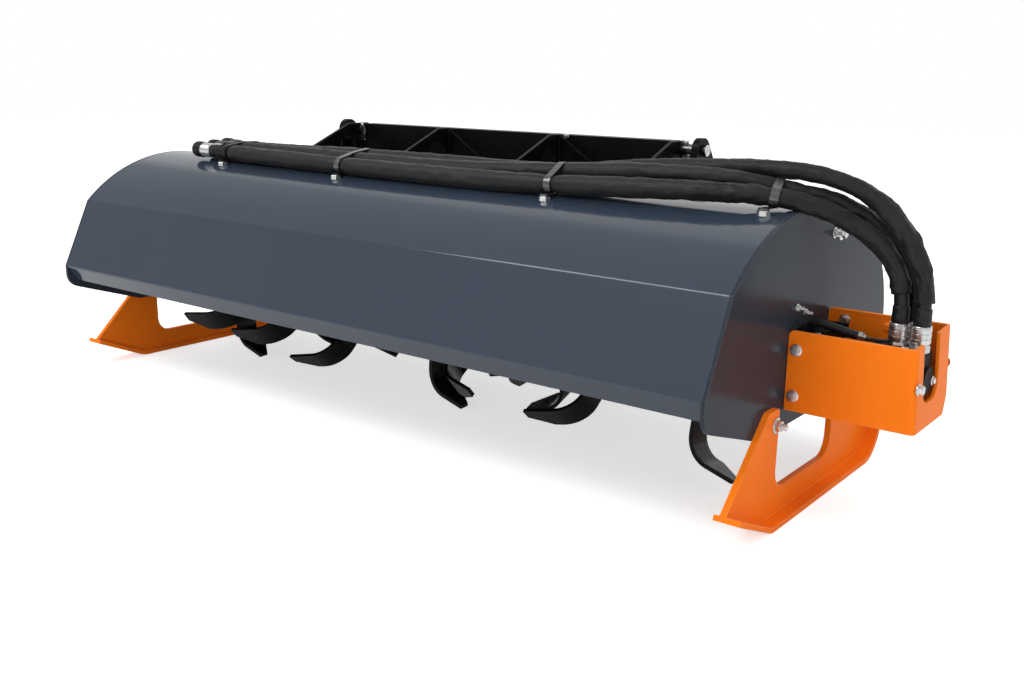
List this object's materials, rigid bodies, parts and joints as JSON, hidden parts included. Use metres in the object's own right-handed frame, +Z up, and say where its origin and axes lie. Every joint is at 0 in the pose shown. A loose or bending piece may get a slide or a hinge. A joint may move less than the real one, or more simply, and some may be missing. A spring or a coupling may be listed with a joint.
{
  "type": "hydraulic rotary tiller attachment",
  "caption": "Wide rotary tiller carried by a compact loader: curved tines under a creased sheet hood, skids at the ends, hydraulic motor in a guard, hoses over the hood and a pinned hitch.",
  "frame": {"origin": "on the ground, under the middle of the machine without its hoses", "axes": "+X along the rotor towards the motor, +Y towards the loader, +Z up"},
  "size_m": [2.0665, 0.846, 0.631],
  "materials": {
    "hood_paint": "gloss slate grey",
    "orange_paint": "satin orange powder coat",
    "black_paint": "satin black",
    "motor_black": "matt black",
    "tine_steel": "black dipped steel",
    "zinc_steel": "zinc plated",
    "hose_cover": "black woven sleeve"
  },
  "bodies": {
    "chassis": {"bearing_cap_left": "motor_black", "bearing_left": "motor_black", "bearing_right": "motor_black", "clamp_1": "zinc_steel", "clamp_2": "zinc_steel", "clamp_3": "zinc_steel", "clamp_4": "zinc_steel", "coupler_1": "zinc_steel", "coupler_2": "zinc_steel", "coupler_3": "zinc_steel", "end_plate_left": "hood_paint", "end_plate_right": "hood_paint", "guard_bracket_front": "black_paint", "guard_bracket_rear": "black_paint", "hitch_beam": "black_paint", "hitch_cross_tube": "black_paint", "hitch_ear_left": "black_paint", "hitch_ear_right": "black_paint", "hitch_gusset_1": "black_paint", "hitch_gusset_2": "black_paint", "hitch_gusset_3": "black_paint", "hitch_gusset_4": "black_paint", "hitch_pin_left": "zinc_steel", "hitch_pin_right": "zinc_steel", "hood_shell": "hood_paint", "hose_front": "hose_cover", "hose_middle": "hose_cover", "hose_rear": "hose_cover", "motor": "motor_black", "motor_guard": "orange_paint", "port_fitting_1": "zinc_steel", "port_fitting_2": "zinc_steel", "port_fitting_drain": "zinc_steel", "skid_left": "orange_paint", "skid_right": "orange_paint"},
    "rotor": {"rotor_shaft": "black_paint", "tines_1": "tine_steel", "tines_2": "tine_steel", "tines_3": "tine_steel", "tines_4": "tine_steel", "tines_5": "tine_steel", "tines_6": "tine_steel", "tines_7": "tine_steel", "tines_8": "tine_steel", "tines_9": "tine_steel"}
  },
  "joints": [
    {"name": "rotor_spin", "type": "hinge", "parent": "chassis", "child": "rotor", "pos_m": [-0.0905, -0.04, 0.266], "axis": [1, 0, 0], "continuous": true}
  ]
}
